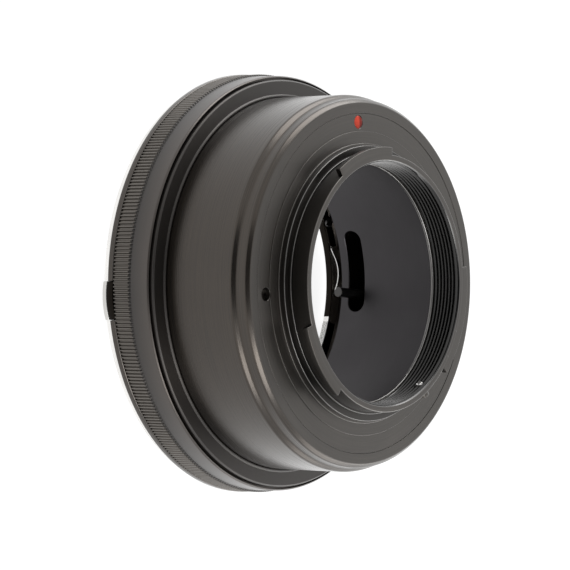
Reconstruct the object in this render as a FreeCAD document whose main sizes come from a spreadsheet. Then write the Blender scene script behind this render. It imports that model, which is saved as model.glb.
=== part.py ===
import FreeCAD, Part
import math
import os
import re
import Sketcher

# Lens mount adapter: a female lens bayonet at the bottom, a male camera bayonet on top, and a
# knurled ring between them that moves the lens's aperture lever with a pin inside the bore.
# Millimetres and degrees. +Z is the optical axis and points to the camera. The origin is the
# centre of the bright face that the lens seats on. Angles turn from +X towards +Y.

Vector = FreeCAD.Vector

SIZES = (
    ("register_depth", 27.46, "lens face to camera face"),
    ("edge_break", 0.15, "broken edge on turned parts"),
    ("slide_clearance", 0.05, "clearance of a sliding fit, each side"),
    ("cutter_margin", 1.0, "how far a cutter runs past a surface"),

    ("bore_radius", 24.4, "smooth bore of the body"),
    ("tube_wall", 7.9, "wall of the body's tube"),
    ("nose_length", 3.1, "stepped nose, down from the camera face"),
    ("nose_step", 0.75, "step from the tube down to the band on the nose"),
    ("front_bevel", 0.7, "bevel at the camera face"),
    ("nose_wall", 2.48, "wall of the nose round the camera bayonet"),
    ("seat_depth", 2.2, "depth of the camera bayonet's seat"),
    ("base_ledge", 0.1, "how far the base stands out past the grip"),
    ("base_thickness", 1.05, "height of the body's base"),
    ("land_step", 0.65, "step up from the tube to the land that the aperture ring turns on"),
    ("cavity_step", 2.2, "width of the space for the lens's lugs, out from the bore"),
    ("cavity_depth", 2.15, "height of that space"),

    ("plate_thickness", 1.31, "bright lens mount plate"),
    ("plate_inset", 0.6, "how far the plate's edge lies inside the base"),
    ("throat_step", 0.2, "how far the plate's lugs stand in past the bore"),
    ("gate_step", 2.0, "depth of the three gates between the lugs"),
    ("gate_angle", 131.5, "where the first gate starts"),
    ("gate_sweep", 58.0, "length of a gate"),
    ("plate_screw_inset", 2.35, "centre of a plate screw, in from the land"),
    ("plate_screw_angle", 45.0, "place of the first of the four plate screws"),
    ("plate_screw_radius", 0.8, "thread of a plate screw"),
    ("plate_screw_flare", 0.8, "how far its head is wider than its thread, each side"),
    ("plate_screw_length", 4.8, "length of a plate screw"),
    ("cross_arm", 1.0, "arm of the cross recess in its head"),
    ("cross_width", 0.42, "width of that recess"),
    ("cross_depth", 0.64, "depth of that recess"),

    ("ring_play", 0.12, "axial play of the aperture ring"),
    ("ring_height", 7.23, "height of the aperture ring"),
    ("ring_wall", 3.5, "wall of the ring, out to the tips of its ribs"),
    ("grip_height", 3.55, "height of the ribbed grip"),
    ("rib_depth", 0.28, "depth of a rib"),
    ("rib_count", 360, "ribs round the grip"),
    ("band_drop", 0.02, "how far the smooth band starts inside the ribs' roots"),
    ("band_fall", 0.12, "how much narrower the band is at its upper end"),
    ("rebate_depth", 1.05, "rebate for the retaining ring"),
    ("groove_depth", 0.35, "ball groove in the ring, out from the land"),
    ("groove_lift", 1.72, "height of the ball groove above the ring's foot"),
    ("groove_width", 1.2, "width of the ball groove"),

    ("retainer_inset", 1.1, "how far the retaining ring lies inside the ribs' tips"),
    ("retainer_gap", 0.4, "gap between it and the aperture ring"),
    ("retainer_step", 0.1, "how far its thread is wider than the tube"),
    ("retainer_height", 1.84, "height of the retaining ring at its inner edge"),
    ("retainer_fall", 0.2, "fall of its face towards the outside"),
    ("retainer_bevel", 0.35, "bevels of its face"),

    ("slot_start", 78.3, "centre of the slot's first round end"),
    ("slot_sweep", 26.3, "angle between its round ends"),
    ("slot_width", 3.5, "width of the slot"),
    ("pin_drop", 1.8, "middle of the slot and the pin, below the floor of the rebate"),
    ("pin_angle", 81.5, "place of the actuator pin at rest"),
    ("pin_radius", 0.88, "radius of the actuator pin"),
    ("pin_stand", 5.4, "how far the pin stands out of the bore's wall"),
    ("pin_socket", 1.8, "depth of the pin in the ring"),

    ("ball_angle", 180.0, "place of the detent ball"),
    ("ball_radius", 0.8, "radius of the detent ball"),
    ("ball_hole_depth", 3.6, "depth of its hole in the land"),
    ("ball_wire", 0.12, "wire radius of its spring"),
    ("ball_coil", 0.52, "radius of that spring's coils"),
    ("ball_pitch", 0.55, "pitch of that spring"),
    ("ball_seat", 0.64, "the ball's centre to the end of its spring"),

    ("flange_recess", 0.05, "drop of the bayonet's flange below the camera face"),
    ("pad_height", 0.1, "raised pad round the camera bayonet"),
    ("pad_step", 2.1, "width of that pad"),
    ("foot_height", 0.35, "first step of the snout"),
    ("foot_step", 0.4, "width of that step"),
    ("ankle_rise", 0.85, "height of the second step"),
    ("ankle_step", 1.2, "width of that step"),
    ("collar_rise", 0.4, "height of the third step"),
    ("collar_step", 0.4, "width of that step"),
    ("snout_inset", 2.5, "the snout's outside, in from the body's bore"),
    ("snout_height", 4.86, "camera face to the end of the snout"),
    ("lip_wall", 0.9, "wall at the mouth of the snout"),
    ("crest_step", 0.55, "bevel of the mouth, in from the lip"),
    ("thread_depth", 0.4, "depth of the fine thread in the snout"),
    ("mouth_depth", 0.95, "depth of the mouth's bevel"),
    ("shoulder_height", 0.2, "plain rim above the thread"),
    ("thread_length", 4.1, "length of the fine thread"),
    ("skirt_height", 0.4, "plain rim below the thread"),
    ("lug_reach", 1.3, "how far the camera lugs stand out of the snout"),
    ("lug_height", 1.06, "height of a camera lug"),
    ("first_lug_start", 173.0, "first camera lug"),
    ("first_lug_sweep", 38.0, "its length"),
    ("second_lug_start", 284.6, "second camera lug"),
    ("second_lug_sweep", 35.4, "its length"),
    ("third_lug_start", 44.0, "third camera lug"),
    ("third_lug_sweep", 49.7, "its length"),

    ("index_angle", 180.0, "red mounting marks"),
    ("dot_margin", 0.235, "flange left on each side of the camera mark"),
    ("dot_depth", 0.5, "depth of a mark's recess"),
    ("dot_crown", 0.12, "rise of the camera mark above its face"),
    ("dome_radius", 6.0, "curve of that mark's top"),
    ("lens_mark_inset", 2.4, "centre of the lens mark, in from the plate's edge"),
    ("latch_angle", 270.0, "hole for the camera's lock pin"),
    ("latch_hole_radius", 1.15, "radius of that hole"),
    ("latch_hole_step", 0.85, "centre of that hole, out from the pad"),
    ("latch_hole_depth", 1.4, "depth of that hole"),
    ("stop_angle", 28.2, "stop screw between two camera lugs"),
    ("stop_height", 3.5, "height of the stop screw above the camera face"),
    ("stop_radius", 0.55, "shank of the stop screw"),
    ("stop_head_radius", 0.95, "head of the stop screw"),
    ("stop_head_height", 1.0, "height of that head"),
    ("stop_tip", 0.25, "length of its tip inside the bore"),
    ("driver_width", 0.3, "straight slot in the head of a small screw"),
    ("driver_share", 0.5, "depth of that slot, as a share of the head's height"),

    ("leaf_angle", 91.0, "crest of the first leaf spring's bow"),
    ("leaf_margin", 0.45, "gap outside a leaf spring, in from the cavity's wall"),
    ("leaf_gauge", 0.2, "thickness of a leaf spring"),
    ("leaf_span", 11.8, "length that a whole bow would have"),
    ("leaf_rise", 1.25, "height of the bow"),
    ("leaf_tip", 0.35, "straight free end past the bow's crown"),
    ("leaf_tab", 6.3, "flat tab beside the bow"),
    ("leaf_screw_radius", 0.5, "thread of a leaf screw"),
    ("leaf_screw_head", 0.85, "head radius of a leaf screw"),
    ("leaf_screw_rise", 0.45, "head height of a leaf screw"),
    ("leaf_screw_floor", 0.36, "plate left under a leaf screw"),

    ("lock_angle", 270.8, "lock pin and its button"),
    ("lock_inset", 2.95, "centre of the lock pin, in from the land"),
    ("lock_pin_radius", 1.0, "shank of the lock pin"),
    ("lock_pin_reach", 1.15, "reach of the lock pin below the lens face"),
    ("lock_travel", 1.2, "travel of the pin and of its button"),
    ("head_length", 2.4, "radial length of the pin's wedge head"),
    ("head_width", 4.0, "width of that head"),
    ("head_cap", 0.55, "height of the head above its slope"),
    ("spring_hole_radius", 1.4, "hole of the lock spring"),
    ("spring_length", 4.2, "length of the lock spring at rest"),
    ("spring_wire", 0.2, "wire radius of the lock spring"),
    ("spring_pitch", 0.95, "pitch of the lock spring"),
    ("spring_boss", 0.7, "boss that centres the lock spring"),
    ("tongue_width", 5.0, "forked tongue of the button"),
    ("tongue_height", 1.4, "height of its ramp"),
    ("tongue_reach", 2.2, "thick part of the tongue, out from the lock pin"),
    ("button_width", 6.5, "width of the button"),
    ("button_block", 3.0, "inner end of the button's block, in from the base's rim"),
    ("button_stand", 0.05, "how far the block stands out of the rim"),
    ("button_foot", 0.95, "underside of the button's block"),
    ("button_cap_stand", 0.05, "how far its bright cap stands out of the block"),
    ("button_curve", 12.0, "curve of the faces of both"),
    ("button_cap_foot", 0.12, "underside of the cap"),
    ("button_play", 0.08, "gap beside the button"),
)

# Radii and heights that follow from the sizes, in the order in which they build on one another.
DERIVED = (
    ("tube_radius", "bore_radius + tube_wall"),
    ("band_radius", "tube_radius - nose_step"),
    ("seat_radius", "band_radius - nose_wall"),
    ("land_radius", "tube_radius + land_step"),
    ("ring_bore", "land_radius + slide_clearance"),
    ("grip_radius", "ring_bore + ring_wall"),
    ("rib_root", "grip_radius - rib_depth"),
    ("base_radius", "grip_radius + base_ledge"),
    ("cavity_radius", "bore_radius + cavity_step"),
    ("plate_radius", "base_radius - plate_inset"),
    ("throat_radius", "bore_radius - throat_step"),
    ("gate_radius", "throat_radius + gate_step"),
    ("plate_screw_circle", "land_radius - plate_screw_inset"),
    ("plate_screw_head", "plate_screw_radius + plate_screw_flare"),
    ("groove_radius", "land_radius + groove_depth"),
    ("retainer_radius", "grip_radius - retainer_inset"),
    ("retainer_thread", "tube_radius + retainer_step"),
    ("rebate_radius", "retainer_radius + retainer_gap"),
    ("pin_reach", "bore_radius - pin_stand"),
    ("snout_radius", "bore_radius - snout_inset"),
    ("collar_radius", "snout_radius + collar_step"),
    ("ankle_radius", "collar_radius + ankle_step"),
    ("foot_radius", "ankle_radius + foot_step"),
    ("pad_radius", "foot_radius + pad_step"),
    ("lip_radius", "snout_radius - lip_wall"),
    ("crest_radius", "lip_radius - crest_step"),
    ("thread_radius", "crest_radius + thread_depth"),
    ("lug_radius", "snout_radius + lug_reach"),
    ("index_radius", "(pad_radius + seat_radius) / 2"),
    ("dot_radius", "(seat_radius - pad_radius) / 2 - dot_margin"),
    ("lens_mark_radius", "plate_radius - lens_mark_inset"),
    ("latch_hole_circle", "pad_radius + latch_hole_step"),
    ("leaf_width", "cavity_step - leaf_margin"),
    ("leaf_circle", "bore_radius + leaf_width / 2"),
    ("lock_circle", "land_radius - lock_inset"),
    ("head_inner", "lock_circle - head_length / 2"),
    ("head_outer", "lock_circle + head_length / 2"),
    ("tongue_outer", "lock_circle + tongue_reach"),
    ("button_inner", "base_radius - button_block"),
    ("button_reach", "base_radius + button_stand"),
    ("button_cap_reach", "button_reach + button_cap_stand"),
    ("notch_inner", "button_inner - lock_travel - button_play"),
    ("ankle_height", "foot_height + ankle_rise"),
    ("collar_height", "ankle_height + collar_rise"),
    ("base_top", "plate_thickness + base_thickness"),
    ("ring_foot", "base_top + ring_play"),
    ("grip_top", "ring_foot + grip_height"),
    ("ring_top", "ring_foot + ring_height"),
    ("rebate_floor", "ring_top - rebate_depth"),
    ("land_top", "rebate_floor + ring_play"),
    ("retainer_top", "land_top + retainer_height"),
    ("groove_height", "ring_foot + groove_lift"),
    ("pin_height", "rebate_floor - pin_drop"),
    ("leaf_screw_depth", "plate_thickness - leaf_screw_floor"),
    ("tongue_foot", "plate_thickness + slide_clearance"),
    ("ramp_top", "tongue_foot + tongue_height"),
    ("head_foot", "tongue_foot + slide_clearance"),
    ("slope_top", "head_foot + head_length"),
    ("head_top", "slope_top + head_cap"),
    ("spring_top", "head_top + spring_length"),
)

LEAF_COUNT = 3
PLATE_SCREW_COUNT = 4
WIRE_SIDES = 6

# Where a sketch's corners start, on a small circle, before the sheet's sizes place them.
START_CENTRE = 20
START_SPREAD = 10

NODES = []


def bind(text):
    """Turn the words of a formula into cells of the sheet."""
    return re.sub(r"\b[a-z]+(?:_[a-z]+)+\b", lambda word: "Sizes." + word.group(0), text)


def make_sheet(doc):
    """Put the sizes in a sheet, each with its name and what it is."""
    sheet = doc.addObject("Spreadsheet::Sheet", "Sizes")
    for row, (name, value, note) in enumerate(SIZES, start=1):
        sheet.set(f"A{row}", note)
        sheet.set(f"B{row}", str(value))
        sheet.setAlias(f"B{row}", name)
    for row, (name, formula) in enumerate(DERIVED, start=len(SIZES) + 1):
        sheet.set(f"B{row}", "=" + formula)
        sheet.setAlias(f"B{row}", name)
        doc.recompute()
    return sheet


def set_sizes(item, **formulas):
    for prop, formula in formulas.items():
        item.setExpression(prop, bind(str(formula)))


def upright(height, turn="0", radius="0", side="0"):
    """A place on a vertical axis: out by radius at an angle, then sideways, at a height."""
    return (f"placement(vector(0; 0; {height}); rotationz({turn}))"
            f" * placement(vector({radius}; {side}; 0); rotationz(0))")


def radial(height, turn, radius):
    """A place whose own axis points outwards at an angle, from a radius, at a height."""
    return (f"placement(vector(0; 0; {height}); rotationz({turn}))"
            f" * placement(vector({radius}; 0; 0); rotationy(90))")


def cylinder(doc, name, radius, height, place, sweep="360"):
    item = doc.addObject("Part::Cylinder", name)
    set_sizes(item, Radius=radius, Height=height, Angle=sweep, Placement=place)
    return item


def cone(doc, name, low_radius, high_radius, height, place):
    item = doc.addObject("Part::Cone", name)
    set_sizes(item, Radius1=low_radius, Radius2=high_radius, Height=height, Placement=place)
    return item


def block(doc, name, inner, outer, width, foot, top, turn):
    """A box between two radii and two heights, centred on the direction of an angle."""
    item = doc.addObject("Part::Box", name)
    set_sizes(item, Length=f"({outer}) - ({inner})", Width=width, Height=f"({top}) - ({foot})")
    set_sizes(item, Placement=upright(foot, turn, inner, f"-({width}) / 2"))
    return item


def sphere(doc, name, radius, place):
    item = doc.addObject("Part::Sphere", name)
    set_sizes(item, Radius=radius, Placement=place)
    return item


def fuse(doc, name, items):
    item = doc.addObject("Part::MultiFuse", name)
    item.Shapes = items
    return item


def cut(doc, name, base, tools):
    item = doc.addObject("Part::Cut", name)
    item.Base = base
    item.Tool = tools[0] if len(tools) == 1 else fuse(doc, name + "Tools", tools)
    return item


def common(doc, name, first, second):
    item = doc.addObject("Part::Common", name)
    item.Base = first
    item.Tool = second
    return item


def group(doc, name, items):
    item = doc.addObject("Part::Compound", name)
    item.Links = items
    return item


def publish(item, node):
    """Name a finished sub-part after its node."""
    item.Label = node
    NODES.append(item)


def outline_sketch(body, name, corners):
    """A closed outline in the XZ plane; each corner is a radius and a height from the sheet."""
    sketch = body.newObject("Sketcher::SketchObject", name)
    plane = [item for item in body.Origin.OriginFeatures if item.Role == "XZ_Plane"][0]
    sketch.AttachmentSupport = [(plane, "")]
    sketch.MapMode = "FlatFace"
    count = len(corners)
    turn = 2 * math.pi / count
    start = [Vector(START_CENTRE + START_SPREAD * math.cos(turn * i),
                    START_CENTRE + START_SPREAD * math.sin(turn * i), 0) for i in range(count)]
    for i in range(count):
        sketch.addGeometry(Part.LineSegment(start[i], start[(i + 1) % count]))
    for i in range(count):
        sketch.addConstraint(Sketcher.Constraint("Coincident", i, 2, (i + 1) % count, 1))
    for i, (radius, height) in enumerate(corners):
        place = (("DistanceX", start[i].x, radius), ("DistanceY", start[i].y, height))
        for kind, value, formula in place:
            row = sketch.addConstraint(Sketcher.Constraint(kind, -1, 1, i, 1, value))
            sketch.setExpression(f"Constraints[{row}]", bind(formula))
    return sketch


def turned(doc, name, corners):
    """A part turned on a lathe: its half section, revolved about the axis."""
    body = doc.addObject("PartDesign::Body", name)
    sketch = outline_sketch(body, name + "Section", corners)
    turn = body.newObject("PartDesign::Revolution", name + "Turn")
    turn.Profile = sketch
    turn.ReferenceAxis = (sketch, ["V_Axis"])
    turn.Angle = 360
    sketch.Visibility = False
    return body


def milled(doc, name, corners, width, turn):
    """A side outline padded to both sides of the direction of an angle."""
    body = doc.addObject("PartDesign::Body", name)
    sketch = outline_sketch(body, name + "Side", corners)
    pad = body.newObject("PartDesign::Pad", name + "Pad")
    pad.Profile = sketch
    pad.Midplane = True
    set_sizes(pad, Length=width)
    set_sizes(body, Placement=upright("0", turn))
    return body


def coil(doc, name, radius, wire, pitch, length, place):
    """A wire wound round its own axis; both ends stay a wire's radius inside its length."""
    path = doc.addObject("Part::Helix", name + "Path")
    set_sizes(path, Radius=radius, Pitch=pitch, Height=f"({length}) - 2 * ({wire})")
    section = doc.addObject("Part::RegularPolygon", name + "Wire")
    section.Polygon = WIRE_SIDES
    set_sizes(section, Circumradius=wire)
    set_sizes(section, Placement=f"placement(vector({radius}; 0; 0); rotationx(90))")
    wound = doc.addObject("Part::Sweep", name + "Wound")
    wound.Sections = [section]
    wound.Spine = (path, ["Edge1"])
    wound.Solid = True
    wound.Frenet = True
    item = group(doc, name, [wound])
    set_sizes(item, Placement=f"{place} * placement(vector(0; 0; {wire}); rotationz(0))")
    return item


def slot_cutter(doc):
    """The slot that the actuator pin travels in: a stretch of the wall with round ends."""
    reach = "land_radius + cutter_margin"
    foot = "pin_height - slot_width / 2"
    sector = cylinder(doc, "SlotSector", reach, "slot_width", upright(foot, "slot_start"),
                      "slot_sweep")
    ends = [cylinder(doc, f"SlotEnd{i}", "slot_width / 2", reach,
                     radial("pin_height", f"slot_start + {i} * slot_sweep", "0"))
            for i in range(2)]
    return [sector] + ends


def plate_screw_turn(i):
    return f"plate_screw_angle + {360 / PLATE_SCREW_COUNT} * {i}"


def leaf_turn(i):
    return f"leaf_angle + {360 / LEAF_COUNT} * {i}"


def leaf_screw_turn(i):
    """A leaf screw sits in the middle of the flat tab beside the bow."""
    return f"{leaf_turn(i)} + asin((leaf_span / 2 + leaf_tab / 2) / leaf_circle) / 1 deg"


def lock_cutters(doc):
    """The pocket in the body for the lock pin's head, its spring and the button."""
    head = block(doc, "HeadPocket", "head_inner - slide_clearance",
                 "head_outer + slide_clearance", "head_width + 2 * slide_clearance",
                 "plate_thickness - cutter_margin",
                 "head_top + lock_travel + slide_clearance", "lock_angle")
    tongue = block(doc, "TonguePocket", "head_inner - lock_travel - 2 * slide_clearance",
                   "max(tongue_outer; button_inner - lock_travel) + button_play",
                   "tongue_width + 2 * button_play",
                   "plate_thickness - cutter_margin", "ramp_top + slide_clearance",
                   "lock_angle")
    notch = block(doc, "ButtonNotch", "notch_inner",
                  "base_radius + cutter_margin", "button_width + 2 * button_play",
                  "plate_thickness - cutter_margin", "base_top", "lock_angle")
    hole = cylinder(doc, "SpringHole", "spring_hole_radius", "spring_top - plate_thickness",
                    upright("plate_thickness", "lock_angle", "lock_circle"))
    return [head, tongue, notch, hole]


def main_body(doc):
    camera_face = "register_depth"
    nose_foot = "register_depth - nose_length"
    seat_floor = "register_depth - seat_depth"
    cavity_top = "plate_thickness + cavity_depth"
    shell = turned(doc, "BodyShell", (
        ("cavity_radius", "plate_thickness"),
        ("base_radius - edge_break", "plate_thickness"),
        ("base_radius", "plate_thickness + edge_break"),
        ("base_radius", "base_top - edge_break"),
        ("base_radius - edge_break", "base_top"),
        ("land_radius", "base_top"),
        ("land_radius", "land_top"),
        ("retainer_thread", "land_top"),
        ("retainer_thread", "retainer_top - retainer_bevel"),
        ("tube_radius", "retainer_top - retainer_bevel"),
        ("tube_radius", nose_foot),
        ("band_radius", f"{nose_foot} + tube_radius - band_radius"),
        ("band_radius", f"{camera_face} - front_bevel"),
        ("band_radius - front_bevel", camera_face),
        ("seat_radius", camera_face),
        ("seat_radius", seat_floor),
        ("bore_radius", seat_floor),
        ("bore_radius", cavity_top),
        ("cavity_radius", cavity_top)))
    screw_holes = [cylinder(doc, f"BodyScrewHole{i}", "plate_screw_radius", "plate_screw_length",
                            upright("0", plate_screw_turn(i), "plate_screw_circle"))
                   for i in range(PLATE_SCREW_COUNT)]
    ball_hole = cylinder(doc, "BallHole", "ball_radius + slide_clearance",
                         "ball_hole_depth + cutter_margin",
                         radial("groove_height", "ball_angle", "land_radius - ball_hole_depth"))
    tools = slot_cutter(doc) + screw_holes + [ball_hole] + lock_cutters(doc)
    publish(cut(doc, "MainBody", shell, tools), "main_body")


def lug(doc, name, start, sweep):
    """One lug: a stretch of ring at the end of the snout."""
    foot = "register_depth + snout_height - lug_height"
    outer = cylinder(doc, name + "Outer", "lug_radius", "lug_height", upright(foot, start), sweep)
    inner = cylinder(doc, name + "Inner", "(lip_radius + snout_radius) / 2", "lug_height",
                     upright(foot))
    return cut(doc, name, outer, [inner])


def camera_bayonet(doc):
    face = "register_depth"
    foot = "register_depth - seat_depth"
    end = "register_depth + snout_height"
    thread_top = f"{end} - mouth_depth - shoulder_height"
    thread_foot = f"{thread_top} - thread_length"
    skirt_foot = f"{thread_foot} - skirt_height"
    flare = f"{skirt_foot} - ({foot})"
    ring = turned(doc, "BayonetRing", (
        (f"crest_radius + {flare}", foot),
        ("seat_radius", foot),
        ("seat_radius", f"{face} - flange_recess - edge_break"),
        ("seat_radius - edge_break", f"{face} - flange_recess"),
        ("pad_radius", f"{face} - flange_recess"),
        ("pad_radius", f"{face} + pad_height"),
        ("foot_radius", f"{face} + pad_height"),
        ("foot_radius", f"{face} + foot_height"),
        ("ankle_radius", f"{face} + foot_height"),
        ("ankle_radius", f"{face} + ankle_height - edge_break"),
        ("ankle_radius - edge_break", f"{face} + ankle_height"),
        ("collar_radius", f"{face} + ankle_height"),
        ("collar_radius", f"{face} + collar_height - edge_break"),
        ("collar_radius - edge_break", f"{face} + collar_height"),
        ("snout_radius", f"{face} + collar_height"),
        ("snout_radius", f"{end} - edge_break"),
        ("snout_radius - edge_break", end),
        ("lip_radius", end),
        ("crest_radius", f"{end} - mouth_depth"),
        ("crest_radius", thread_top),
        ("thread_radius", thread_top),
        ("thread_radius", thread_foot),
        ("crest_radius", thread_foot),
        ("crest_radius", skirt_foot)))
    lugs = [lug(doc, "FirstLug", "first_lug_start", "first_lug_sweep"),
            lug(doc, "SecondLug", "second_lug_start", "second_lug_sweep"),
            lug(doc, "ThirdLug", "third_lug_start", "third_lug_sweep")]
    blank = fuse(doc, "BayonetBlank", [ring] + lugs)
    latch = cylinder(doc, "LatchHole", "latch_hole_radius", "latch_hole_depth + cutter_margin",
                     upright(f"{face} - latch_hole_depth", "latch_angle", "latch_hole_circle"))
    recess = cylinder(doc, "DotRecess", "dot_radius", "dot_depth + cutter_margin",
                      upright(f"{face} - dot_depth", "index_angle", "index_radius"))
    stop = cylinder(doc, "StopHole", "stop_radius", "snout_inset + 2 * cutter_margin",
                    radial(f"{face} + stop_height", "stop_angle", "crest_radius - cutter_margin"))
    publish(cut(doc, "CameraBayonet", blank, [latch, recess, stop]), "camera_bayonet")


def domed_dot(doc, name, foot, depth, turn, circle):
    """A round mark with a slightly domed top."""
    stem = cylinder(doc, name + "Stem", "dot_radius", depth, upright(foot, turn, circle))
    ball = sphere(doc, name + "Dome", "dome_radius",
                  upright(f"{foot} + {depth} - dome_radius", turn, circle))
    return common(doc, name, stem, ball)


def index_dots(doc):
    """The camera's mark stands proud of its face; the lens's mark is flush, seen from below."""
    publish(domed_dot(doc, "CameraDot", "register_depth - dot_depth", "(dot_depth + dot_crown)",
                      "index_angle", "index_radius"), "camera_index_dot")
    publish(cylinder(doc, "LensDot", "dot_radius", "dot_depth",
                     upright("0", "index_angle", "lens_mark_radius")), "lens_index_dot")


def stop_screw(doc):
    """A small screw through the snout's wall; its head stands between two lugs."""
    height = "register_depth + stop_height"
    shank = cylinder(doc, "StopShank", "stop_radius", "snout_radius - crest_radius + stop_tip",
                     radial(height, "stop_angle", "crest_radius - stop_tip"))
    head = cylinder(doc, "StopHead", "stop_head_radius", "stop_head_height",
                    radial(height, "stop_angle", "snout_radius"))
    slot = block(doc, "StopDriver", "snout_radius + stop_head_height * (1 - driver_share)",
                 "snout_radius + stop_head_height + cutter_margin", "4 * stop_head_radius",
                 f"{height} - driver_width / 2", f"{height} + driver_width / 2", "stop_angle")
    publish(cut(doc, "StopScrew", fuse(doc, "StopBlank", [shank, head]), [slot]),
            "bayonet_stop_screw")


def retaining_ring(doc):
    ring = turned(doc, "Retainer", (
        ("retainer_thread", "land_top"),
        ("retainer_radius", "land_top"),
        ("retainer_radius", "retainer_top - retainer_fall - retainer_bevel"),
        ("retainer_radius - retainer_bevel", "retainer_top - retainer_fall"),
        ("retainer_thread + retainer_bevel", "retainer_top"),
        ("retainer_thread", "retainer_top - retainer_bevel")))
    publish(ring, "retaining_ring")


def ribbed_band(doc, sheet):
    """The grip: straight V ribs all round, as one closed outline with a plain bore."""
    tip = sheet.grip_radius
    root = sheet.rib_root
    step = math.pi / sheet.rib_count
    corners = []
    for i in range(2 * int(sheet.rib_count)):
        radius = tip if i % 2 == 0 else root
        corners.append(Vector(radius * math.cos(i * step), radius * math.sin(i * step), 0))
    ribs = Part.Face(Part.makePolygon(corners + corners[:1])).extrude(Vector(0, 0, sheet.grip_height))
    bore = Part.makeCylinder(root - sheet.rib_depth, sheet.grip_height)
    item = doc.addObject("Part::Feature", "RibbedBand")
    item.Shape = ribs.cut(bore)
    item.Placement = FreeCAD.Placement(Vector(0, 0, sheet.ring_foot), FreeCAD.Rotation())
    return item


def aperture_ring(doc, sheet):
    brow = "rib_root - band_drop - band_fall"
    hoop = turned(doc, "RingHoop", (
        ("ring_bore", "ring_foot"),
        ("rib_root - rib_depth / 2", "ring_foot"),
        ("rib_root - rib_depth / 2", "grip_top"),
        ("rib_root - band_drop", "grip_top"),
        (brow, "ring_top - edge_break"),
        (f"(rebate_radius + {brow}) / 2", "ring_top"),
        ("rebate_radius", "ring_top"),
        ("rebate_radius", "rebate_floor"),
        ("ring_bore", "rebate_floor"),
        ("ring_bore", "groove_height + groove_width / 2"),
        ("groove_radius", "groove_height + groove_width / 2"),
        ("groove_radius", "groove_height - groove_width / 2"),
        ("ring_bore", "groove_height - groove_width / 2")))
    blank = fuse(doc, "RingBlank", [hoop, ribbed_band(doc, sheet)])
    socket = cylinder(doc, "PinSocket", "pin_radius", "pin_socket + cutter_margin",
                      radial("pin_height", "pin_angle", "ring_bore - cutter_margin"))
    publish(cut(doc, "ApertureRing", blank, [socket]), "aperture_ring")
    pin = cylinder(doc, "ActuatorPin", "pin_radius", "ring_bore + pin_socket - pin_reach",
                   radial("pin_height", "pin_angle", "pin_reach"))
    publish(pin, "actuator_pin")


def detent(doc):
    """A sprung ball in the land that rubs in the ring's groove and steadies the ring."""
    centre = "groove_radius - slide_clearance - ball_radius"
    ball = sphere(doc, "DetentBall", "ball_radius", radial("groove_height", "ball_angle", centre))
    publish(ball, "detent_ball")
    spring = coil(doc, "DetentSpring", "ball_coil", "ball_wire", "ball_pitch",
                  f"{centre} - ball_seat - land_radius + ball_hole_depth",
                  radial("groove_height", "ball_angle", "land_radius - ball_hole_depth"))
    publish(spring, "detent_spring")


def lens_mount_plate(doc):
    disc = turned(doc, "PlateDisc", (
        ("throat_radius + edge_break", "0"),
        ("plate_radius - edge_break", "0"),
        ("plate_radius", "edge_break"),
        ("plate_radius", "plate_thickness"),
        ("throat_radius", "plate_thickness"),
        ("throat_radius", "edge_break")))
    tall = "plate_thickness + 2 * cutter_margin"
    gates = [cylinder(doc, f"Gate{i}", "gate_radius", tall,
                      upright("-cutter_margin", f"gate_angle + {360 / LEAF_COUNT} * {i}"), "gate_sweep")
             for i in range(LEAF_COUNT)]
    holes = [cylinder(doc, f"PlateHole{i}", "plate_screw_radius", tall,
                      upright("-cutter_margin", plate_screw_turn(i), "plate_screw_circle"))
             for i in range(PLATE_SCREW_COUNT)]
    sinks = [cone(doc, f"PlateSink{i}", "plate_screw_head", "plate_screw_radius",
                  "plate_screw_flare",
                  upright("0", plate_screw_turn(i), "plate_screw_circle"))
             for i in range(PLATE_SCREW_COUNT)]
    leaf_holes = [cylinder(doc, f"LeafHole{i}", "leaf_screw_radius", "plate_thickness",
                           upright("leaf_screw_floor", leaf_screw_turn(i), "leaf_circle"))
                  for i in range(LEAF_COUNT)]
    pin_hole = cylinder(doc, "LockPinHole", "lock_pin_radius + slide_clearance", tall,
                        upright("-cutter_margin", "lock_angle", "lock_circle"))
    notch = block(doc, "PlateNotch", "notch_inner", "plate_radius + cutter_margin",
                  "button_width + 2 * button_play", "-cutter_margin",
                  "plate_thickness + cutter_margin", "lock_angle")
    mark = cylinder(doc, "LensDotRecess", "dot_radius", "dot_depth + cutter_margin",
                    upright("-cutter_margin", "index_angle", "lens_mark_radius"))
    tools = gates + holes + sinks + leaf_holes + [pin_hole, notch, mark]
    publish(cut(doc, "MountPlate", disc, tools), "lens_mount_plate")


def plate_screw(doc, i):
    """A countersunk screw with a cross recess in its head."""
    turn = plate_screw_turn(i)
    name = f"PlateScrew{i}"
    head = cone(doc, name + "Head", "plate_screw_head", "plate_screw_radius",
                "plate_screw_flare", upright("0", turn, "plate_screw_circle"))
    shank = cylinder(doc, name + "Shank", "plate_screw_radius", "plate_screw_length",
                     upright("0", turn, "plate_screw_circle"))
    long_way = block(doc, name + "CrossA", "plate_screw_circle - cross_arm",
                     "plate_screw_circle + cross_arm", "cross_width", "-cutter_margin",
                     "cross_depth", turn)
    short_way = block(doc, name + "CrossB", "plate_screw_circle - cross_width / 2",
                      "plate_screw_circle + cross_width / 2", "2 * cross_arm", "-cutter_margin",
                      "cross_depth", turn)
    blank = fuse(doc, name + "Blank", [head, shank])
    return cut(doc, name, blank, [long_way, short_way])


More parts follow.
